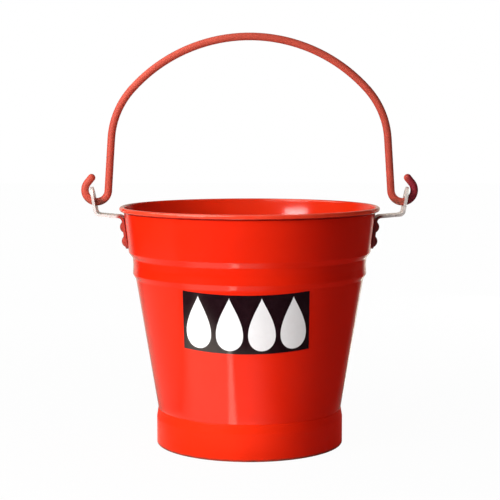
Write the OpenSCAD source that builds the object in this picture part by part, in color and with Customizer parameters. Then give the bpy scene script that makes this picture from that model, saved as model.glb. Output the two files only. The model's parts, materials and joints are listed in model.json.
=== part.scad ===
// Fire bucket. A tapered tub of sheet steel, with a rolled rim over a wire, two
// swaged steps, a recessed bottom and a foot hoop, carries a round bail that hooks
// through two riveted ears. The tub stands on z = 0 about the Z axis, the ears lie on
// the X axis, and the label faces -Y.

/* [Tub] */
// Height from the ground to the top of the rim
tub_h = 266; // [250:1:300]
// Diameter over the rolled rim
rim_d = 290; // [282:1:310]
// Thickness of the rolled rim, the same across and down
bead_d = 5.2; // [4.6:0.1:7]
// Thickness of the tub's sheet
sheet_t = 0.8; // [0.6:0.05:1.1]
// How much narrower than the rim the upper cone is at its foot, across
upper_taper = 20.4; // [16:0.1:25]
// How much the tub narrows at the upper step, across
upper_step_in = 8.9; // [4:0.1:10]
// How much the tub narrows at the lower step, across
lower_step_in = 6.7; // [4:0.1:9]
// How much narrower than at its top the lower cone would be at the ground, across
lower_taper = 62; // [50:0.5:70]
// Distance from the rim's top down to the foot of the upper cone
step_drop = 50.5; // [49:0.5:60]
// Height of the upper step
upper_step_h = 6; // [5:0.5:10]
// Height of the band between the two steps
band_h = 18; // [12:0.5:24]
// Depth of the band's shallow waist
band_waist = 0.6; // [0.2:0.1:1]
// Height of the lower step
lower_step_h = 5.5; // [5:0.5:12]
// Bend radius of the swaged steps
step_r = 3; // [1.5:0.5:4]

/* [Lock seam] */
// Width of the seam down the back
seam_w = 7; // [4:0.5:12]
// How far the seam stands proud of the tub
seam_t = 0.7; // [0.4:0.1:1.2]
// Distance from the rim's top down to the seam's upper end
seam_drop = 8; // [7:0.5:14]

/* [Bottom and foot] */
// Height of the bottom's underside above the ground
bottom_rise = 16; // [14:0.5:22]
// Thickness of the bottom
bottom_t = 0.8; // [0.6:0.05:1.1]
// Bend radius of the bottom's edge
bottom_r = 2.5; // [1.5:0.5:4]
// Height of the tub's lower hem above the ground
hem_rise = 5; // [3:0.5:6]
// Height of the tub's lower hem
hem_h = 6; // [4:0.5:7]
// How much wider the foot is than the lower cone would be at the ground, across
foot_flare = 17; // [14:0.5:22]
// Height of the foot
foot_h = 38; // [34:1:44]
// Height of the foot's upright wall, below its shoulder
foot_wall_h = 30; // [24:0.5:31]
// Bend radius of the foot's shoulder
shoulder_r = 12; // [4:1:14]
// Thickness of the foot's sheet
foot_t = 0.8; // [0.6:0.05:1.1]
// Width of the flat hem that the foot stands on
foot_hem_w = 4; // [3.4:0.1:6]
// Height of the foot's hem
foot_hem_h = 9; // [6:0.5:14]
// Bend radius of the foot's hem
foot_hem_r = 1.2; // [1.15:0.05:1.6]

/* [Ears] */
// Width of the ear strap
ear_w = 26; // [24:0.5:30]
// Thickness of the ear strap
ear_t = 2.8; // [2:0.1:3.2]
// Distance from the rim's top down to the strap's lower end
ear_drop = 48; // [46:0.5:48]
// Distance from the rim's top down to the strap where it turns out from the wall
run_drop = 10.6; // [9:0.1:12]
// How much the strap rises between the wall and the tab
run_rise = 2.6; // [0:0.1:4]
// Distance from the rim outward to the foot of the tab
tab_out = 24.6; // [24:0.1:32]
// Height of the tab's round end above the rim's top
tab_rise = 21.5; // [20:0.1:22]
// Lean of the tab away from the tub, in degrees
tab_lean = 9.5; // [0:0.5:12]
// Inner bend radius of the strap
ear_bend_r = 4; // [2:0.5:5]

/* [Rivets] */
// Diameter of the shank
rivet_d = 6; // [4:0.5:7]
// Diameter of the domed head
head_d = 13; // [9:0.5:14]
// Height of the domed head
head_h = 4; // [2.5:0.1:5]
// Diameter of the flat head inside the tub
burr_d = 9.5; // [8:0.5:12]
// Height of the flat head inside the tub
burr_h = 1.6; // [1:0.1:2.5]
// Distance from the rim's top down to the upper rivets
upper_rivet_drop = 23.5; // [22:0.5:24]
// Distance between the upper and lower rivets
rivet_pitch = 16; // [15:0.5:17]

/* [Bail] */
// Diameter of the rod
rod_d = 8.5; // [6:0.5:9]
// Height of the pivot above the rim's top
pivot_rise = 4.9; // [4.5:0.1:6]
// Height of the bail's crown above its pivot, at the rod's middle
bail_rise = 182.5; // [160:0.5:220]
// Half of the arc of the crown, in degrees
crown_a = 48; // [42:1:54]
// Bend radius of the corners between crown and legs
corner_r = 90; // [60:1:100]
// Lean of the legs away from upright, in degrees
leg_lean = 3.85; // [2:0.05:6]
// Bend radius of the hooks
hook_r = 13; // [12.8:0.1:15]
// Distance from the tab in to the middle of the hook
hook_inset = 2.6; // [2:0.1:4]
// How far the hook turns past upright, in degrees
hook_turn = 39; // [30:1:44]
// Length of the hook's straight tip, with its round end
tip_l = 11.5; // [6:0.5:13]

/* [Label] */
// Width of the label, laid flat
label_w = 140; // [100:1:160]
// Height of the label, laid flat
label_h = 64; // [40:1:80]
// Thickness of the label
label_t = 0.25; // [0.1:0.05:0.5]
// Distance from the top of the lower cone down to the label's upper edge, at its middle
label_drop = 5; // [4.5:0.5:60]
// Turn of the label about the tub, in degrees
label_turn = -2; // [-10:0.5:10]

/* [Fits] */
// How much wider the bail's hole in the ear is than the rod
hole_play = 4; // [3.6:0.1:4.5]
// Gap between the rim's wire and the sheet round it
wire_gap = 0.05; // [0.02:0.01:0.1]
// Gap on each side of the bottom's edge in its hem
edge_gap = 0.1; // [0.05:0.01:0.2]
// Gap between pieces that are pressed or stuck together
seat_gap = 0.05; // [0.02:0.01:0.1]
// Gap round a rivet's shank
shank_gap = 0.1; // [0.05:0.01:0.2]
// Gap left where the rolled rim closes on the tub, in degrees of the roll
roll_open_a = 42; // [40:1:60]

/* [Hidden] */

PAINT_RED = "#d8240e";
BAIL_RED = "#c4422c";
BARE_STEEL = "#9a9a98";
LABEL_BLACK = "#1c1a1a";
ROUND_FN = 180;
ROD_FN = 48;
BEND_STEPS = 6;
ROLL_STEPS = 40;
LABEL_STEPS = 16;

// Outer diameters: at the foot of the upper cone, at both edges of the band, at the top of
// the lower cone, where that cone would meet the ground, and of the foot
upper_d = rim_d - upper_taper;
band_d = upper_d - upper_step_in;
lower_d = band_d - lower_step_in;
ground_d = lower_d - lower_taper;
foot_d = ground_d + foot_flare;

// Heights of the tub's steps
upper_foot_z = tub_h - step_drop;
band_top_z = upper_foot_z - upper_step_h;
band_foot_z = band_top_z - band_h;
lower_top_z = band_foot_z - lower_step_h;

// The rolled rim: its middle, and the radius of its hollow
roll_r = bead_d / 2 - sheet_t;
roll_c = [(rim_d - bead_d) / 2, tub_h - bead_d / 2];

// The upper cone's outer face runs from its foot to touch the hollow of the roll
upper_foot = [upper_d / 2, upper_foot_z];
to_roll = roll_c - upper_foot;
upper_a = atan2(to_roll.y, to_roll.x) + asin(roll_r / norm(to_roll));
roll_start_a = upper_a + 90;
roll_touch = roll_c + roll_r * [cos(roll_start_a), sin(roll_start_a)];

// The lower cone: its lean from upright
lower_lean = atan2(lower_taper / 2, lower_top_z);

// Radius of the outer face of either cone at height z
function lower_r(z) = ground_d / 2 + z * tan(lower_lean);
function upper_r(z) = upper_foot.x + (z - upper_foot.y) / tan(upper_a);

// Pivot of the bail, and the strap's heights: its foot, its turn out from the wall, the foot
// of its tab and its top
pivot_z = tub_h + pivot_rise;
ear_foot_z = tub_h - ear_drop;
run_z = tub_h - run_drop;
tab_foot_z = run_z + run_rise;
tab_top_z = tub_h + tab_rise;
tab_foot_x = rim_d / 2 + tab_out;
tab_x = tab_foot_x + (pivot_z - tab_foot_z) * tan(tab_lean) + ear_t / 2 / cos(tab_lean);
upper_rivet_z = tub_h - upper_rivet_drop;
lower_rivet_z = upper_rivet_z - rivet_pitch;

// Unit vector at angle a
function unit(a) = [cos(a), sin(a)];

// Points of an arc about c, from angle a0 to a1
function arc(c, r, a0, a1, steps) = [for (i = [0:steps]) c + r * unit(a0 + (a1 - a0) * i / steps)];

// Points that round the corner q, between p and s, to radius r
function bend(p, q, s, r) =
    let (
        u = (p - q) / norm(p - q),
        v = (s - q) / norm(s - q),
        half = acos(u * v) / 2,
        c = q + (u + v) / norm(u + v) * r / sin(half),
        a = q + u * r / tan(half) - c,
        b = q + v * r / tan(half) - c,
        start = atan2(a.y, a.x),
        turn = atan2(a.x * b.y - a.y * b.x, a * b)
    )
    arc(c, r, start, start + turn, BEND_STEPS);

// A path with each corner [x, z, radius] rounded to its radius; a corner without a
// radius stays sharp
function rounded(corners) = [
    for (i = [0:len(corners) - 1])
        let (q = [corners[i][0], corners[i][1]])
        if (len(corners[i]) == 2) q
        else each bend(
            [corners[i - 1][0], corners[i - 1][1]], q,
            [corners[i + 1][0], corners[i + 1][1]], corners[i][2]
        )
];

// Left-hand normal of the step from a to b
function left_of(a, b) = [a.y - b.y, b.x - a.x] / norm(b - a);

// The path moved sideways by t, to its left where t is positive
function beside(path, t) =
    let (last = len(path) - 1)
    [
        for (i = [0:last])
            let (
                u = left_of(path[max(i - 1, 0)], path[max(i, 1)]),
                v = left_of(path[min(i, last - 1)], path[min(i + 1, last)])
            )
            path[i] + t * (u + v) / (1 + u * v)
    ];

// Outline of a sheet that follows the path, with its thickness t to the path's left
function strip(path, t) =
    let (other = beside(path, t))
    concat(path, [for (i = [len(other) - 1:-1:0]) other[i]]);

// Corners of the tub's outer face at its two steps, from the lower one up
step_corners = [
    [lower_d / 2, lower_top_z, step_r * 2],
    [band_d / 2, band_foot_z, step_r],
    [band_d / 2 - band_waist, (band_foot_z + band_top_z) / 2, step_r * 10],
    [band_d / 2, band_top_z, step_r],
    [upper_foot.x, upper_foot.y, step_r]
];

// Outer face of the tub, from the hem inside the foot up to the end of the roll
hem_w = (2 * sheet_t + bottom_t + 2 * edge_gap) / cos(lower_lean);
hem_fold_r = sheet_t + bottom_t / 2;
hem_top_z = hem_rise + hem_h;
body_path = concat(
    rounded(concat(
        [
            [lower_r(hem_top_z) - hem_w, hem_top_z],
            [lower_r(hem_rise) - hem_w, hem_rise, hem_fold_r],
            [lower_r(hem_rise), hem_rise, hem_fold_r]
        ],
        step_corners,
        [roll_touch]
    )),
    arc(roll_c, roll_r, roll_start_a - 360 / ROLL_STEPS, roll_open_a - 180, ROLL_STEPS)
);

// Upper and outer face of the bottom, from the middle out and down into the hem
bottom_z = bottom_rise + bottom_t;
edge_in = (sheet_t + edge_gap) / cos(lower_lean);
edge_foot_z = hem_rise + sheet_t + bottom_t / 2;
bottom_path = rounded([
    [0, bottom_z],
    [lower_r(bottom_z) - edge_in, bottom_z, bottom_r],
    [lower_r(edge_foot_z) - edge_in, edge_foot_z]
]);

// Outer face of the foot, from its hem's inner edge up to its edge on the tub
shoulder_out = foot_t + seat_gap / cos(lower_lean);
foot_path = rounded([
    [foot_d / 2 - foot_hem_w, foot_hem_h],
    [foot_d / 2 - foot_hem_w, 0, foot_hem_r],
    [foot_d / 2, 0, foot_hem_r],
    [foot_d / 2, foot_wall_h, shoulder_r],
    [lower_r(foot_h) + shoulder_out, foot_h]
]);

// Inner face of the strap: up the wall, out under the rim, and up the tab
pad_out = seat_gap / sin(upper_a);
ear_path = rounded([
    [upper_r(ear_foot_z) + pad_out, ear_foot_z],
    [upper_r(run_z) + pad_out, run_z, ear_bend_r + ear_t],
    [tab_foot_x, tab_foot_z, ear_bend_r],
    [tab_foot_x + (tab_top_z - tab_foot_z) * tan(tab_lean), tab_top_z]
]);

// The bail, in the XZ plane: middles and ends of its arcs
crown_z = pivot_z + bail_rise;
leg_a = 90 - leg_lean;
hook_c = [tab_x - hook_inset, pivot_z + sqrt(pow(hook_r, 2) - pow(hook_inset, 2))];
hook_start = hook_c - hook_r * [sin(leg_a), cos(leg_a)];
corner_a = leg_a - crown_a;
crown_r = (
    hook_start * [sin(leg_a), cos(leg_a)]
    - corner_r * (1 - cos(corner_a)) - crown_z * cos(leg_a)
) / (cos(corner_a) - cos(leg_a));
crown_c = [0, crown_z - crown_r];
crown_end = crown_c + crown_r * [sin(crown_a), cos(crown_a)];
corner_c = crown_end - corner_r * [sin(crown_a), cos(crown_a)];
corner_end = corner_c + corner_r * [sin(leg_a), cos(leg_a)];
hook_end = hook_c + hook_r * unit(hook_turn);
tip_c = hook_end + (tip_l - rod_d / 2) * unit(hook_turn + 90);

// The knuckle where two stretches of rod meet: how far it stands proud of the rod, and
// how far each stretch stops short of its middle
knuckle_swell = 0.06;
knuckle_gap = 0.2;

// Height of the label's middle, and its distance from the lower cone's apex, laid flat
label_z = lower_top_z - label_drop - label_h / 2 * cos(lower_lean);
apex_to_label = lower_r(label_z) / sin(lower_lean);

// Place, seen from the front, of the point u across and v up on the label
function on_label(u, v) =
    let (
        slant = norm([u, apex_to_label + v]),
        turn = atan2(u, apex_to_label + v) / sin(lower_lean)
    )
    [slant * sin(lower_lean) * sin(turn), label_z + (slant - apex_to_label) * cos(lower_lean)];

label_outline = concat(
    [for (i = [0:LABEL_STEPS]) on_label(label_w * (i / LABEL_STEPS - 0.5), -label_h / 2)],
    [for (i = [0:LABEL_STEPS]) on_label(label_w * (0.5 - i / LABEL_STEPS), label_h / 2)]
);

// A ring of bent sheet about the Z axis
module sheet_ring(path, t) {
    rotate_extrude($fn = ROUND_FN)
        polygon(strip(path, t));
}

// Moves its children to the upper wall at height z, with +Z square out of the wall
module at_wall(z) {
    translate([upper_r(z), 0, z])
        rotate([0, 180 - upper_a, 0])
            children();
}

// Holes for the two rivets of the ear on the +X side
module rivet_holes() {
    for (z = [upper_rivet_z, lower_rivet_z])
        at_wall(z)
            cylinder(d = rivet_d + 2 * shank_gap, h = 2 * (ear_t + sheet_t), center = true, $fn = ROD_FN);
}

// Folded seam that closes the tub's sheet, flat on its outside
module lock_seam() {
    seam_top_z = tub_h - seam_drop;
    seam_foot_z = foot_h + 1;
    outer = rounded(concat(
        [[lower_r(seam_foot_z), seam_foot_z]],
        step_corners,
        [[upper_r(seam_top_z), seam_top_z]]
    ));
    intersection() {
        sheet_ring(beside(outer, sheet_t / 2), -(sheet_t / 2 + seam_t));
        translate([-seam_w / 2, 0, 0])
            cube([seam_w, rim_d, tub_h]);
    }
}

module body_shell() {
    color(PAINT_RED)
        difference() {
            union() {
                sheet_ring(body_path, sheet_t);
                lock_seam();
            }
            for (turn = [0, 180])
                rotate([0, 0, turn])
                    rivet_holes();
        }
}

module rim_wire() {
    color(BARE_STEEL)
        rotate_extrude($fn = ROUND_FN)
            translate(roll_c)
                circle(r = roll_r - wire_gap, $fn = ROD_FN);
}

module bottom_plate() {
    color(PAINT_RED)
        sheet_ring(bottom_path, -bottom_t);
}

module foot_ring() {
    color(PAINT_RED)
        sheet_ring(foot_path, foot_t);
}

// The strap's outline as seen along the X axis, with both ends round
module ear_outline() {
    end_r = ear_w / 2;
    for (z = [ear_foot_z + end_r, tab_top_z - end_r])
        translate([0, z])
            circle(r = end_r, $fn = ROD_FN);
    translate([-end_r, ear_foot_z + end_r])
        square([ear_w, tab_top_z - ear_foot_z - ear_w]);
}

// Bent strap on the +X side
module ear() {
    color(PAINT_RED)
        difference() {
            intersection() {
                translate([0, ear_w / 2, 0])
                    rotate([90, 0, 0])
                        linear_extrude(ear_w)
                            polygon(strip(ear_path, -ear_t));
                rotate([90, 0, 90])
                    linear_extrude(rim_d)
                        ear_outline();
            }
            rivet_holes();
            translate([tab_x, 0, pivot_z])
                rotate([0, 90, 0])
                    cylinder(d = rod_d + hole_play, h = tab_out, center = true, $fn = ROD_FN);
        }
}

module right_ear() {
    ear();
}

module left_ear() {
    rotate([0, 0, 180])
        ear();
}

// Domed rivet at height z on the +X side, closed by a flat head inside the tub
module rivet(z) {
    head_foot = ear_t + 2 * seat_gap;
    dome_r = (pow(head_d / 2, 2) + pow(head_h, 2)) / (2 * head_h);
    burr_seat = sheet_t + seat_gap + pow(burr_d, 2) / (8 * upper_r(z));
    color(PAINT_RED)
        at_wall(z) {
            translate([0, 0, -burr_seat - burr_h])
                cylinder(d = rivet_d, h = burr_h + burr_seat + head_foot + head_h / 2, $fn = ROD_FN);
            translate([0, 0, -burr_seat - burr_h])
                cylinder(d = burr_d, h = burr_h, $fn = ROD_FN);
            translate([0, 0, head_foot])
                rotate_extrude($fn = ROD_FN)
                    intersection() {
                        translate([0, head_h - dome_r])
                            circle(r = dome_r, $fn = ROUND_FN);
                        square([head_d, head_h]);
                    }
        }
}

module right_ear_upper_rivet() {
    rivet(upper_rivet_z);
}

module right_ear_lower_rivet() {
    rivet(lower_rivet_z);
}

module left_ear_upper_rivet() {
    rotate([0, 0, 180])
        rivet(upper_rivet_z);
}

module left_ear_lower_rivet() {
    rotate([0, 0, 180])
        rivet(lower_rivet_z);
}

// Bent stretch of rod in the XZ plane, about c, from angle a0 to a1
module rod_arc(c, r, a0, a1) {
    short_a = knuckle_gap / r * 180 / PI;
    translate([c.x, 0, c.y])
        rotate([90, 0, 0])
            rotate([0, 0, a0 + short_a])
                rotate_extrude(angle = a1 - a0 - 2 * short_a, $fn = ROUND_FN)
                    translate([r, 0])
                        circle(d = rod_d, $fn = ROD_FN);
}

// Straight stretch of rod in the XZ plane, from a to b
module rod_bar(a, b) {
    translate([a.x, 0, a.y])
        rotate([0, atan2(b.x - a.x, b.y - a.y), 0])
            translate([0, 0, knuckle_gap])
                cylinder(d = rod_d, h = norm(b - a) - 2 * knuckle_gap, $fn = ROD_FN);
}

// Round knuckle that merges the stretches of rod that stop just short of p, or ends one
module rod_knuckle(p) {
    translate([p.x, 0, p.y])
        sphere(r = rod_d / 2 + knuckle_swell, $fn = ROD_FN);
}

module bail_handle() {
    color(BAIL_RED) {
        rod_arc(crown_c, crown_r, 90 - crown_a, 90 + crown_a);
        for (side = [0, 1])
            mirror([side, 0, 0]) {
                rod_arc(corner_c, corner_r, 90 - leg_a, 90 - crown_a);
                rod_bar(corner_end, hook_start);
                rod_arc(hook_c, hook_r, -90 - leg_a, hook_turn);
                rod_bar(hook_end, tip_c);
                for (p = [crown_end, corner_end, hook_start, hook_end, tip_c])
                    rod_knuckle(p);
            }
    }
}

// Printed sheet stuck round the front of the lower cone
module front_label() {
    z0 = label_z - label_h;
    face = beside([[lower_r(z0), z0], [lower_r(lower_top_z), lower_top_z]], -seat_gap);
    color(LABEL_BLACK)
        rotate([0, 0, label_turn])
            intersection() {
                sheet_ring(face, -label_t);
                rotate([90, 0, 0])
                    linear_extrude(rim_d)
                        polygon(label_outline);
            }
}

body_shell();
rim_wire();
bottom_plate();
foot_ring();
left_ear();
right_ear();
left_ear_upper_rivet();
left_ear_lower_rivet();
right_ear_upper_rivet();
right_ear_lower_rivet();
bail_handle();
front_label();
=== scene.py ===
"""Looks of the fire bucket: its finishes, the figures on its label, the floor, lamps and camera.

Everything is in metres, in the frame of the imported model: the tub stands on z = 0 about the
Z axis, the ears lie on the X axis, and the label faces -Y. Where a name holds two numbers, the
step or the ramp that uses it starts at the first and ends at the second.
"""

import json
import math

import bmesh
import bpy
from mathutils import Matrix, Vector


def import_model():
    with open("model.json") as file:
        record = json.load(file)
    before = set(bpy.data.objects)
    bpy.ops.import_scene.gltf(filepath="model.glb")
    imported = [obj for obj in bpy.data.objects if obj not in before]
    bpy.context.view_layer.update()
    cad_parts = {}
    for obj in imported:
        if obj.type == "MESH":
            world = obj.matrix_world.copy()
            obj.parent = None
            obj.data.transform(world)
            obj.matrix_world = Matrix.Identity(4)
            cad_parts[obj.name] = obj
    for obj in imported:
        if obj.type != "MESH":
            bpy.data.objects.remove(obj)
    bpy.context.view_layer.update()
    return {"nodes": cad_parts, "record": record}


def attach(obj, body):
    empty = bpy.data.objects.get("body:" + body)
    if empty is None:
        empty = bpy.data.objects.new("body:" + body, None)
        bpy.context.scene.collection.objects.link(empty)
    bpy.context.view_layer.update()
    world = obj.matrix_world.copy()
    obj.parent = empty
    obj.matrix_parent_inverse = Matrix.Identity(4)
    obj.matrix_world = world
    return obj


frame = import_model()
nodes = frame["nodes"]

# The lower cone: its radius where it would meet the ground, and how far it leans out
GROUND_R = 0.096
CONE_SPREAD = 0.031
CONE_H = 0.186
LEAN = math.atan2(CONE_SPREAD, CONE_H)

# How squarely a surface has to face the axis to count as the inside: level ones don't
INWARD = -0.01

# How far a seed moves a noise along X, Y and Z
NOISE_SHIFT = (1.0, 0.7, 1.3)


def cone_r(z):
    """Radius of the lower cone."""
    return GROUND_R + z * math.tan(LEAN)


# Node helpers
class Tree:
    """A node tree, with short calls for the nodes that the finishes, the floor and the sky share."""

    def __init__(self, owner, coordinates="Object"):
        owner.use_nodes = True
        self.owner = owner
        self.tree = owner.node_tree
        self.tree.nodes.clear()
        source = self.add("ShaderNodeTexCoord").outputs
        self.place, self.facing = source[coordinates], source["Normal"]

    def add(self, kind, **settings):
        node = self.tree.nodes.new(kind)
        for name, value in settings.items():
            setattr(node, name, value)
        return node

    def link(self, source, socket):
        self.tree.links.new(source, socket)

    def put(self, socket, value):
        """Links value if it is a socket, and otherwise sets it."""
        if isinstance(value, bpy.types.NodeSocket):
            self.link(value, socket)
        else:
            socket.default_value = value

    def noise(self, scale, detail, stretch=(1, 1, 1), roughness=0.5, seed=0.0):
        mapping = self.add("ShaderNodeMapping")
        mapping.inputs["Scale"].default_value = stretch
        mapping.inputs["Location"].default_value = [seed * shift for shift in NOISE_SHIFT]
        self.link(self.place, mapping.inputs["Vector"])
        noise = self.add("ShaderNodeTexNoise")
        noise.inputs["Scale"].default_value = scale
        noise.inputs["Detail"].default_value = detail
        noise.inputs["Roughness"].default_value = roughness
        self.link(mapping.outputs["Vector"], noise.inputs["Vector"])
        return noise.outputs["Fac"]

    def ramp(self, value, low, high, to_low=0.0, to_high=1.0, smooth=False):
        node = self.add("ShaderNodeMapRange", clamp=True)
        node.interpolation_type = "SMOOTHSTEP" if smooth else "LINEAR"
        self.put(node.inputs["Value"], value)
        ends = {"From Min": low, "From Max": high, "To Min": to_low, "To Max": to_high}
        for name, number in ends.items():
            node.inputs[name].default_value = number
        return node.outputs["Result"]

    def step(self, value, low, high):
        """A soft step from 0 to 1, or from 1 to 0 where low is the larger."""
        if low < high:
            return self.ramp(value, low, high, smooth=True)
        return self.ramp(value, high, low, 1.0, 0.0, smooth=True)

    def patches(self, scale, detail, span, levels=(0.0, 1.0), stretch=(1, 1, 1), roughness=0.5, seed=0.0):
        """A noise that goes from one level to the other as it crosses the span."""
        return self.ramp(self.noise(scale, detail, stretch, roughness, seed), *span, *levels)

    def math(self, operation, a, b=0.0):
        node = self.add("ShaderNodeMath", operation=operation)
        self.put(node.inputs[0], a)
        self.put(node.inputs[1], b)
        return node.outputs["Value"]

    def times(self, first, *others):
        for value in others:
            first = self.math("MULTIPLY", first, value)
        return first

    def largest(self, first, *others):
        for value in others:
            first = self.math("MAXIMUM", first, value)
        return first

    def vector_math(self, operation, a, b):
        node = self.add("ShaderNodeVectorMath", operation=operation)
        self.put(node.inputs[0], a)
        self.put(node.inputs[1], b)
        return node.outputs

    def mix(self, share, a, b):
        node = self.add("ShaderNodeMix", data_type="RGBA")
        self.put(node.inputs["Factor"], share)
        self.put(node.inputs["A"], a)
        self.put(node.inputs["B"], b)
        return node.outputs["Result"]

    def between(self, share, a, b):
        """A number that goes from a to b as share goes from 0 to 1."""
        node = self.add("ShaderNodeMix", data_type="FLOAT")
        self.put(node.inputs["Factor"], share)
        self.put(node.inputs["A"], a)
        self.put(node.inputs["B"], b)
        return node.outputs["Result"]

    def axes(self):
        node = self.add("ShaderNodeSeparateXYZ")
        self.link(self.place, node.inputs["Vector"])
        return node.outputs

    def outward(self):
        """The level arrow from the Z axis to the place."""
        return self.vector_math("MULTIPLY", self.place, (1, 1, 0))["Vector"]

    def radius(self):
        """Distance from the Z axis."""
        return self.vector_math("LENGTH", self.outward(), (0, 0, 0))["Value"]

    def faces_axis(self):
        """1 where the surface faces the Z axis, as the inside of the tub does."""
        squareness = self.vector_math("DOT_PRODUCT", self.facing, self.outward())["Value"]
        return self.math("LESS_THAN", squareness, INWARD)

    def beside(self, start, end):
        """Distance to the right of the line that runs on the floor from start to end."""
        along = (Vector(end) - Vector(start)).normalized()
        right = Vector((along.y, -along.x, 0))
        reach = self.vector_math("DOT_PRODUCT", self.place, right)["Value"]
        return self.math("SUBTRACT", reach, right.x * start[0] + right.y * start[1])

    def bump(self, height, distance, strength=1.0, under=None):
        node = self.add("ShaderNodeBump")
        node.inputs["Strength"].default_value = strength
        node.inputs["Distance"].default_value = distance
        self.link(height, node.inputs["Height"])
        if under is not None:
            self.link(under, node.inputs["Normal"])
        return node.outputs["Normal"]

    def principled(self, **values):
        node = self.add("ShaderNodeBsdfPrincipled")
        for name, value in values.items():
            self.put(node.inputs[name.replace("_", " ")], value)
        return node.outputs["BSDF"]

    def shader_mix(self, share, a, b):
        node = self.add("ShaderNodeMixShader")
        self.put(node.inputs["Fac"], share)
        self.link(a, node.inputs[1])
        self.link(b, node.inputs[2])
        return node.outputs["Shader"]

    def shown_rays(self):
        """1 for rays from the camera, and 1 for rays that gloss or glass sends on."""
        path = self.add("ShaderNodeLightPath").outputs
        return path["Is Camera Ray"], self.largest(path["Is Glossy Ray"], path["Is Transmission Ray"])

    def surface(self, shader, output="ShaderNodeOutputMaterial"):
        self.link(shader, self.add(output).inputs["Surface"])
        return self.owner


def finish(name):
    return Tree(bpy.data.materials.new(name))


def colour(red, green, blue):
    return (red, green, blue, 1.0)


# Colours of the finishes
RED = colour(0.84, 0.0200, 0.0030)
RED_DEEP = colour(0.78, 0.0165, 0.0026)
RED_SHADED = colour(0.76, 0.0105, 0.0026)
RED_DULL = colour(0.66, 0.0300, 0.0130)
RED_INSIDE = colour(0.88, 0.0320, 0.0060)
RED_ROLL_SHEEN = colour(0.96, 0.0600, 0.0240)
CREVICE_SHADE_RED = colour(0.16, 0.0035, 0.0025)
EAR_RED = colour(0.46, 0.0520, 0.0330)
EAR_DARK = colour(0.34, 0.0340, 0.0240)
EAR_SHADED = colour(0.12, 0.0180, 0.0220)
BAIL_RED = colour(0.61, 0.0900, 0.0560)
BAIL_DARK = colour(0.50, 0.0650, 0.0390)
BAIL_TAB_SHADOW = colour(0.26, 0.0150, 0.0300)
STEEL = colour(0.70, 0.64, 0.60)
STEEL_PALE = colour(0.86, 0.81, 0.78)
DARK_BROWN = colour(0.10, 0.055, 0.035)
FILM_BLACK = colour(0.012, 0.0028, 0.0050)
FILM_BLACK_DULL = colour(0.019, 0.0060, 0.0090)
FILM_WHITE = colour(0.90, 0.885, 0.885)
FILM_WHITE_DULL = colour(0.875, 0.86, 0.86)

# Inside the tub, the upper cone flares out into the roll between these heights
FLARE_Z = (0.2475, 0.2634)
FLARE_DEPTH = -0.0007

# Outside, the crevice under the roll, painted dark as painted shade, and the roll's lower side, where its
# paint turns pale as a painted sheen
CREVICE_Z = 0.2606
CREVICE_H = 0.0016
ROLL_SHEEN_Z = (0.2608, 0.2622)

# The tub's enamel turns darker and deeper red on the right, as painted shade. The foot's turns paler and
# more orange towards the left, up to a share, as painted light, and is darker along its lower edge
SHADE_RIGHT_X = (0.0, 0.10)
FOOT_LIT_X = (0.07, -0.03)
FOOT_LIT_SHARE = 0.7
FOOT_DARK_EDGE_Z = (0.0035, 0.0008)

# The right ear is painted darker as painted shade, and both are worn from here outward
EAR_SHADE_X = (-0.05, 0.05)
EAR_WORN_X = (0.1445, 0.1500)

# The bail is painted darker on the left as painted shade, rubbed where it hangs in the ears, and painted
# maroon at its right end as a painted shadow of the right ear's tab
BAIL_SHADE_LEFT_X = (-0.12, -0.16)
BAIL_RUBBED_Z = (0.277, 0.270)
BAIL_TAB_SHADOW_X = (0.17, 0.18)


# Finishes
def enamel(t):
    """Colour of the tub's red enamel: soft clouds, a few rubbed spots, and painted shade that turns it
    darker on the right.
    """
    cloud = t.patches(9, 4, (0.35, 0.7))
    rubbed = t.patches(60, 6, (0.68, 0.82), (0.0, 0.30), (1, 1, 0.25), 0.65, 3.0)
    # Painted shade: the right side is turned to a darker, deeper red
    painted_shade_right = t.step(t.axes()["X"], *SHADE_RIGHT_X)
    return t.mix(rubbed, t.mix(painted_shade_right, t.mix(cloud, RED, RED_DEEP), RED_SHADED), RED_DULL)


def tub_paint():
    """Gloss enamel on sheet steel: orange peel and soft waves, a flare inside, painted shade in the
    crevice under the roll, and a painted sheen on the roll.
    """
    t = finish("tub_paint")
    z = t.axes()["Z"]
    inside = t.faces_axis()
    outside = t.math("SUBTRACT", 1.0, inside)
    off_crevice = t.math("ABSOLUTE", t.math("SUBTRACT", z, CREVICE_Z))
    # Painted shade: a dark line in the crevice under the roll
    crevice_shade = t.times(
        t.step(off_crevice, CREVICE_H, CREVICE_H / 3), outside,
        t.patches(90, 4, (0.25, 0.65), (0.55, 0.95), seed=6.0))
    # Painted sheen: the roll is turned to a paler red
    painted_sheen = t.times(
        t.step(z, *ROLL_SHEEN_Z), outside, t.patches(70, 4, (0.2, 0.6), (0.6, 1.0), seed=8.0))
    base = t.mix(painted_sheen, t.mix(inside, enamel(t), RED_INSIDE), RED_ROLL_SHEEN)
    peel = t.bump(t.noise(520, 2), 0.00005)
    waves = t.bump(t.noise(14, 2, (1, 1, 0.5), seed=5.0), 0.0009, 0.35, peel)
    flare = t.times(inside, t.math("POWER", t.ramp(z, *FLARE_Z), 2.0))
    return t.surface(t.principled(
        Base_Color=t.mix(crevice_shade, base, CREVICE_SHADE_RED),
        Roughness=t.patches(35, 5, (0.3, 0.75), (0.10, 0.15), seed=1.7),
        Specular_IOR_Level=0.35,
        Normal=t.bump(flare, FLARE_DEPTH, 1.0, waves)))


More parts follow.
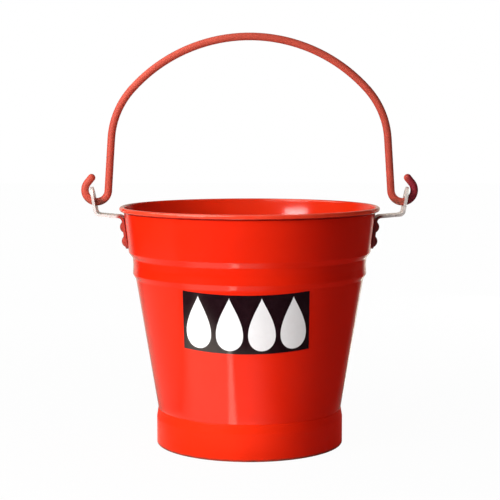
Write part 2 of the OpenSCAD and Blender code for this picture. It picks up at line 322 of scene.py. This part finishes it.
def foot_paint():
    """The same enamel on the foot, scuffed dull, paler and more orange on the left as painted light,
    darker along its lower edge.
    """
    t = finish("foot_paint")
    axes = t.axes()
    # Painted light: the left side of the foot is turned paler and more orange
    painted_light_left = t.times(t.step(axes["X"], *FOOT_LIT_X), FOOT_LIT_SHARE)
    scuffs = t.patches(45, 6, (0.58, 0.75), (0.0, 0.35), (1, 1, 2.5), 0.6, 9.0)
    base = t.mix(scuffs, t.mix(painted_light_left, enamel(t), RED_INSIDE), RED_DULL)
    # The foot turns darker along its lower edge
    darkened = t.times(
        t.step(axes["Z"], *FOOT_DARK_EDGE_Z), t.patches(120, 4, (0.2, 0.6), (0.45, 0.9), seed=4.0))
    return t.surface(t.principled(
        Base_Color=t.mix(darkened, base, DARK_BROWN),
        Roughness=t.patches(60, 5, (0.3, 0.7), (0.30, 0.40), seed=2.3),
        Specular_IOR_Level=0.04,
        Normal=t.bump(t.noise(420, 3), 0.00006)))


def ear_paint():
    """Dull red paint on thick strap, worn to the steel on its level run and its tab, with painted shade
    on the right ear.
    """
    t = finish("ear_paint")
    x = t.axes()["X"]
    base = t.mix(t.patches(60, 4, (0.35, 0.7)), EAR_RED, EAR_DARK)
    # Painted shade: the right ear is turned a much darker red
    darkened = t.mix(t.noise(60, 4), EAR_DARK, EAR_SHADED)
    base = t.mix(t.step(x, *EAR_SHADE_X), base, darkened)
    steel = t.mix(t.noise(500, 4, seed=7.0), STEEL, STEEL_PALE)
    worn = t.times(
        t.step(t.math("ABSOLUTE", x), *EAR_WORN_X), t.patches(220, 5, (0.18, 0.34), seed=2.0))
    return t.surface(t.principled(
        Base_Color=t.mix(worn, base, steel),
        Metallic=t.times(worn, 0.25),
        Roughness=t.patches(90, 4, (0.3, 0.7), (0.30, 0.44), seed=1.0),
        Specular_IOR_Level=0.3,
        Normal=t.bump(t.noise(600, 3), 0.00010)))


def bail_paint():
    """Satin enamel on rod, a little chalky, with painted shade on the left, a painted shadow at its right
    end, and darker where the hooks rub in the ears.
    """
    t = finish("bail_paint")
    axes = t.axes()
    base = t.mix(t.patches(55, 4, (0.3, 0.75), seed=4.0), BAIL_RED, BAIL_DARK)
    # Painted shade: the left end of the bail is turned darker
    base = t.mix(t.step(axes["X"], *BAIL_SHADE_LEFT_X), base, BAIL_DARK)
    rubbed = t.times(
        t.step(axes["Z"], *BAIL_RUBBED_Z), t.patches(240, 4, (0.35, 0.6), (0.2, 0.8), seed=6.0))
    base = t.mix(rubbed, base, DARK_BROWN)
    # Painted shadow: the right ear's tab shadow on the bail's right end, painted maroon
    tab_shadow = t.times(
        t.step(axes["X"], *BAIL_TAB_SHADOW_X), t.patches(120, 3, (0.2, 0.6), (0.6, 1.0), seed=9.0))
    grain = t.bump(t.noise(500, 3), 0.00005)
    return t.surface(t.principled(
        Base_Color=t.mix(tab_shadow, base, BAIL_TAB_SHADOW),
        Roughness=t.patches(150, 4, (0.3, 0.7), (0.45, 0.55)),
        Specular_IOR_Level=0.25,
        Normal=t.bump(t.noise(40, 3, seed=8.0), 0.0006, 0.5, grain)))


def wire_steel():
    """Bare drawn wire with lines along it."""
    t = finish("wire_steel")
    lines = t.noise(900, 3, (1, 1, 6))
    return t.surface(t.principled(
        Base_Color=t.mix(lines, STEEL, STEEL_PALE),
        Metallic=1.0,
        Roughness=t.ramp(lines, 0.3, 0.7, 0.25, 0.45),
        Normal=t.bump(lines, 0.00004)))


def film(name, clean, dull, level):
    """Gloss printed film with a faint wave and tiny scuffs."""
    t = finish(name)
    return t.surface(t.principled(
        Base_Color=t.mix(t.patches(160, 5, (0.45, 0.75), seed=3.0), clean, dull),
        Roughness=t.patches(60, 4, (0.3, 0.7), (0.10, 0.16)),
        Specular_IOR_Level=level,
        Normal=t.bump(t.noise(30, 2, seed=2.0), 0.0003, 0.4)))


FOOT_PAINT = foot_paint()
LABEL_BLACK = film("label_black", FILM_BLACK, FILM_BLACK_DULL, 0.75)
LABEL_WHITE = film("label_white", FILM_WHITE, FILM_WHITE_DULL, 0.5)
BY_SLOT = {
    "red_paint": tub_paint(),
    "ear_paint": ear_paint(),
    "bail_paint": bail_paint(),
    "bare_wire": wire_steel(),
    "label_film": LABEL_BLACK,
}
BY_NODE = {"foot_ring": FOOT_PAINT}

for part in frame["record"]["subparts"]:
    node = nodes[part["node"]]
    node.data.materials.clear()
    node.data.materials.append(BY_NODE.get(part["node"], BY_SLOT[part["material_slot"]]))


def add_piece(name, mesh, material):
    """Makes a piece of the tub from a bmesh."""
    bmesh.ops.recalc_face_normals(mesh, faces=mesh.faces)
    data = bpy.data.meshes.new(name)
    mesh.to_mesh(data)
    mesh.free()
    piece = bpy.data.objects.new(name, data)
    bpy.context.scene.collection.objects.link(piece)
    data.materials.append(material)
    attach(piece, "tub")
    return piece


# Label figures
# The label's middle and its turn to the left, and how far its face lies out from the cone
LABEL_Z = 0.149435
LABEL_TURN = math.radians(-2)
LABEL_OUT = 0.00030

# The figures: how many there are, their sizes, and the steps that each one is made in
FIGURES = 4
FIGURE_T = 0.00008
FIGURE_H = 0.0575
FIGURE_W = 0.0290
FIGURE_PITCH = 0.0342
TIP_SHARPNESS = 1.35
FIGURE_ROWS = 40
FIGURE_COLUMNS = 10
WIDTH_STEPS = 200


def on_label(u, v, out):
    """Point on the lower cone, u across and v up from the label's middle, out from the wall."""
    apex = cone_r(LABEL_Z) / math.sin(LEAN)
    slant = math.hypot(u, apex + v)
    turn = math.atan2(u, apex + v) / math.sin(LEAN) + LABEL_TURN
    radius = slant * math.sin(LEAN) + out * math.cos(LEAN)
    z = LABEL_Z + (slant - apex) * math.cos(LEAN) - out * math.sin(LEAN)
    return Vector((radius * math.sin(turn), -radius * math.cos(turn), z))


def drop_half_width(share):
    """Half width of a drop, for a share from 0 at its foot to 1 at its tip."""
    angle = math.acos(2 * share - 1)
    return math.sin(angle) * math.sin(angle / 2) ** TIP_SHARPNESS


WIDEST = max(drop_half_width(i / WIDTH_STEPS) for i in range(WIDTH_STEPS + 1))


def drop_row(mesh, middle, i, out):
    """The points across row i of a drop, which is a single point at its foot and at its tip."""
    share = (1 - math.cos(math.pi * i / FIGURE_ROWS)) / 2
    v = (share - 0.5) * FIGURE_H
    if i in (0, FIGURE_ROWS):
        return [mesh.verts.new(on_label(middle, v, out))]
    half = FIGURE_W / 2 * drop_half_width(share) / WIDEST
    return [
        mesh.verts.new(on_label(middle + half * (2 * j / FIGURE_COLUMNS - 1), v, out))
        for j in range(FIGURE_COLUMNS + 1)
    ]


def corner(row, j):
    """Point j of a row, or the only point that it has."""
    return row[min(j, len(row) - 1)]


def add_drop(mesh, middle):
    """A thin raised figure in the shape of a drop, wrapped round the cone."""
    back, front = (
        [drop_row(mesh, middle, i, out) for i in range(FIGURE_ROWS + 1)]
        for out in (LABEL_OUT, LABEL_OUT + FIGURE_T)
    )
    for i in range(FIGURE_ROWS):
        for rows, flip in ((front, False), (back, True)):
            low, high = rows[i], rows[i + 1]
            for j in range(FIGURE_COLUMNS):
                # Four corners, or three beside the foot or the tip
                ring = [corner(low, j), corner(low, j + 1), corner(high, j + 1), corner(high, j)]
                ring = [v for k, v in enumerate(ring) if v not in ring[:k]]
                mesh.faces.new(ring[::-1] if flip else ring)
        for end in (0, -1):
            edge = [back[i][end], back[i + 1][end], front[i + 1][end], front[i][end]]
            mesh.faces.new(edge if end == 0 else edge[::-1])


def label_figures():
    """White drops in one row along the label."""
    mesh = bmesh.new()
    for i in range(FIGURES):
        add_drop(mesh, (i - (FIGURES - 1) / 2) * FIGURE_PITCH)
    return add_piece("label_figures", mesh, LABEL_WHITE)


label_figures()

# Solder line
# The foot's upper edge and wall, how far the solder goes up and down from it, and its bulge
FOOT_TOP_Z = 0.038
FOOT_WALL = 0.00094
SOLDER_UP = 0.0020
SOLDER_DOWN = 0.0010
SOLDER_BULGE = 0.00022
SOLDER_ROUND = 6
SOLDER_STEPS = 288


def foot_solder_line():
    """Painted solder that fills the corner between the foot's upper edge and the lower cone."""
    top = Vector((cone_r(FOOT_TOP_Z + SOLDER_UP), FOOT_TOP_Z + SOLDER_UP))
    low = Vector((cone_r(FOOT_TOP_Z) + FOOT_WALL, FOOT_TOP_Z - SOLDER_DOWN))
    out = Vector((math.cos(LEAN), -math.sin(LEAN))) * SOLDER_BULGE
    shares = [i / SOLDER_ROUND for i in range(SOLDER_ROUND + 1)]
    bulge = [top.lerp(low, share) + out * math.sin(math.pi * share) for share in shares]
    section = bulge + [low - out * 2, top - out]
    mesh = bmesh.new()
    rings = []
    for k in range(SOLDER_STEPS):
        a = 2 * math.pi * k / SOLDER_STEPS
        rings.append([mesh.verts.new((p.x * math.sin(a), -p.x * math.cos(a), p.y)) for p in section])
    for k in range(SOLDER_STEPS):
        here, there = rings[k - 1], rings[k]
        for i in range(len(section)):
            mesh.faces.new([here[i - 1], here[i], there[i], there[i - 1]])
    for face in mesh.faces:
        face.smooth = True
    return add_piece("foot_solder_line", mesh, FOOT_PAINT)


foot_solder_line()

# Colours and levels of the light, the fill being what falls on the part from all sides
WHITE = colour(1, 1, 1)
WARM_WHITE = colour(1.0, 0.94, 0.80)
FILL = 0.100
DARK = 0.015
BEHIND_LEVEL = 0.65

# The floor: half its side, how far it lies below the tub, and how white the camera finds it
FLOOR_HALF = 6
FLOOR_DROP = 0.0004
FLOOR_GREY = colour(0.8, 0.8, 0.8)
FLOOR_WHITE_R = (0.2, 1.0)
FLOOR_WHITE = (0.97, 0.99)

# The lit sheet, painted as light that the floor gives off for gloss only, in front of the tub on the
# left: the line along its right side, the line along its left end, how soft both are, and where it stops
SHEET_RIGHT = ((-0.0435, -0.162, 0), (-0.1028, -0.310, 0))
SHEET_LEFT = ((-0.314, -0.134, 0), (-0.174, -0.075, 0))
SHEET_RIGHT_SOFT = (-0.004, 0.004)
SHEET_LEFT_SOFT = (-0.06, 0.06)
SHEET_Y = (-0.36, -0.31)
SHEET_X = (-0.42, -0.36)
SHEET_LEVEL = 1.4

# The dimmer floor beyond the sheet's left end
BEYOND_LEFT = (0.08, -0.08)
BEYOND_X = (0.0, -0.25)
BEYOND_R = (1.3, 0.6)
BEYOND_LEVEL = 0.45

# The bright streak along the sheet's right side
STREAK_W = 0.017
STREAK_LEVEL = 5.0

# Two glows that fade from left to right: one on the floor in front, and one close to the foot
GLOW_TURN = 0.2
GLOW_LEFT = (-0.05, 0.05)
GLOW_X = (-0.06, 0.08)
GLOW = (0.55, 0.02)
CLOSE_R = (0.205, 0.165)
CLOSE_X = (-0.04, 0.04)
CLOSE = (1.2, 0.02)

# The white floor behind the tub, in a wedge that opens to the back
WEDGE_SPREAD = 1.4
WEDGE_TURN = 0.2
WEDGE_Y = (-0.4, 0.5)

# What gloss finds round the part, by direction: a dim front, a tent on the left, the wall
# behind, which is turned a little, and a ceiling
FRONT_X = (0.6, 0.1)
FRONT_Y = (0.3, 0.0)
FRONT_LEVEL = 0.10
TENT_X = (-0.12, -0.35)
TENT_Y = (0.4, 0.1)
TENT_Z = (0.33, 0.42)
TENT_LEVEL = 7.0
WALL_TURN = 0.2
WALL_Y = (0.6, 0.95)
CEILING_Z = (0.78, 0.90)
CEILING_LEVEL = 1.4


# Stage
def floor_in_gloss(t):
    """How bright gloss finds each place of the floor, painted as light that the floor gives off for gloss
    only: a lit sheet in front, white behind.
    """
    axes = t.axes()
    x, y = axes["X"], axes["Y"]
    right = t.beside(*SHEET_RIGHT)
    left = t.beside(*SHEET_LEFT)
    reach = t.times(t.step(y, *SHEET_Y), t.step(x, *SHEET_X))
    sheet = t.times(
        t.step(right, *SHEET_RIGHT_SOFT), t.step(left, *SHEET_LEFT_SOFT), reach, SHEET_LEVEL)
    beyond = t.times(
        t.step(left, *BEYOND_LEFT), t.step(x, *BEYOND_X), t.step(t.radius(), *BEYOND_R), BEYOND_LEVEL)
    streak = t.times(t.step(t.math("ABSOLUTE", right), STREAK_W, STREAK_W / 3), reach, STREAK_LEVEL)
    turned = t.math("ADD", x, t.times(y, GLOW_TURN))
    glow = t.times(t.step(left, *GLOW_LEFT), t.ramp(turned, *GLOW_X, *GLOW, smooth=True), reach)
    close = t.times(t.step(t.radius(), *CLOSE_R), t.ramp(turned, *CLOSE_X, *CLOSE, smooth=True))
    spread = t.math("ADD", t.times(t.math("ABSOLUTE", x), WEDGE_SPREAD), t.times(x, WEDGE_TURN))
    behind = t.times(t.step(t.math("SUBTRACT", y, spread), *WEDGE_Y), BEHIND_LEVEL)
    return t.largest(sheet, beyond, streak, glow, close, behind, DARK)


def floor():
    """Pale floor that keeps the part's soft shadow, nearly white to the camera."""
    mesh = bmesh.new()
    bmesh.ops.create_grid(mesh, x_segments=1, y_segments=1, size=FLOOR_HALF)
    data = bpy.data.meshes.new("floor")
    mesh.to_mesh(data)
    mesh.free()
    piece = bpy.data.objects.new("floor", data)
    piece.location.z = -FLOOR_DROP
    bpy.context.scene.collection.objects.link(piece)
    t = finish("floor")
    seen, bent = t.shown_rays()
    matt = t.add("ShaderNodeBsdfDiffuse")
    matt.inputs["Color"].default_value = FLOOR_GREY
    white = t.add("ShaderNodeEmission")
    t.link(t.mix(bent, WHITE, WARM_WHITE), white.inputs["Color"])
    t.link(t.between(seen, floor_in_gloss(t), 1.0), white.inputs["Strength"])
    share = t.largest(t.times(seen, t.ramp(t.radius(), *FLOOR_WHITE_R, *FLOOR_WHITE)), bent)
    data.materials.append(t.surface(t.shader_mix(share, matt.outputs[0], white.outputs[0])))


def world():
    """Even fill light, white to the camera; gloss finds a dim room with a tent, a wall and a ceiling."""
    sky = bpy.data.worlds.new("studio")
    bpy.context.scene.world = sky
    t = Tree(sky, "Generated")
    seen, bent = t.shown_rays()
    axes = t.axes()
    x, y, z = axes["X"], axes["Y"], axes["Z"]
    front = t.times(t.step(x, *FRONT_X), t.step(y, *FRONT_Y), FRONT_LEVEL)
    tent = t.times(t.step(x, *TENT_X), t.step(y, *TENT_Y), t.step(z, *TENT_Z), TENT_LEVEL)
    turned = t.math("SUBTRACT", y, t.times(x, WALL_TURN))
    wall = t.times(t.step(turned, *WALL_Y), BEHIND_LEVEL)
    ceiling = t.times(t.step(z, *CEILING_Z), CEILING_LEVEL)
    room = t.largest(wall, ceiling, tent, front, DARK)
    light = t.add("ShaderNodeBackground")
    t.link(t.mix(bent, WHITE, WARM_WHITE), light.inputs["Color"])
    t.link(t.between(seen, t.between(bent, FILL, room), 1.0), light.inputs["Strength"])
    t.surface(light.outputs[0], "ShaderNodeOutputWorld")


def around(azimuth, elevation, distance, centre):
    """The point at that distance from centre, where azimuth 0 is towards -Y."""
    a, e = math.radians(azimuth), math.radians(elevation)
    back = Vector((math.sin(a) * math.cos(e), -math.cos(a) * math.cos(e), math.sin(e)))
    return Vector(centre) + back * distance


def lamp(name, watts, place, aim, width, height, glossy=True):
    """Soft lamp at place that looks at aim."""
    data = bpy.data.lights.new(name, "AREA")
    data.shape = "RECTANGLE"
    data.size, data.size_y, data.energy = width, height, watts
    lamp_object = bpy.data.objects.new(name, data)
    lamp_object.location = place
    lamp_object.rotation_euler = (Vector(aim) - Vector(place)).to_track_quat("-Z", "Y").to_euler()
    lamp_object.visible_camera = False
    lamp_object.visible_glossy = glossy
    bpy.context.scene.collection.objects.link(lamp_object)


# What the lamps look at: the tub's middle, its upper part, and the spot of gloss inside it.
# The bounce lies on the floor in front of the tub and looks up.
MIDDLE = (0, 0, 0.15)
UPPER = (0, 0, 0.2)
SPOT = (0.056, 0.127, 0.250)
BOUNCE = (-0.10, -0.25, 0.0005)
OVER_BOUNCE = (-0.10, -0.25, 1)


def lamps():
    """A large key on the left, a weak front, a softbox that gloss shows, a back and a bounce."""
    lamp("key", 8.1, around(-45, 28, 1.1, MIDDLE), MIDDLE, 0.8, 0.8, glossy=False)
    lamp("front", 1.9, around(-5, 42, 1.3, UPPER), UPPER, 0.6, 0.6, glossy=False)
    lamp("softbox", 4.9, around(-46, 9, 1.25, SPOT), SPOT, 0.46, 0.20)
    lamp("back", 8.5, around(140, 0, 1.3, MIDDLE), MIDDLE, 0.9, 0.28, glossy=False)
    lamp("bounce", 0.24, BOUNCE, OVER_BOUNCE, 0.30, 0.22, glossy=False)


CAMERA_PLACE = (0, -1.595, 0.369)
CAMERA_DOWN = 0.0953
CAMERA_LENS = 103.03
CAMERA_SHIFT = 0.0008
SENSOR_W = 36.0


def camera():
    """The photograph's camera: 1.6 m in front, a little above the rim, looking slightly down."""
    data = bpy.data.cameras.new("camera")
    data.sensor_width = SENSOR_W
    data.lens = CAMERA_LENS
    data.shift_x = CAMERA_SHIFT
    piece = bpy.data.objects.new("camera", data)
    piece.location = CAMERA_PLACE
    piece.rotation_euler = (math.pi / 2 - CAMERA_DOWN, 0, 0)
    bpy.context.scene.collection.objects.link(piece)
    bpy.context.scene.camera = piece


floor()
world()
lamps()
camera()

view = bpy.context.scene.view_settings
view.view_transform = "Standard"
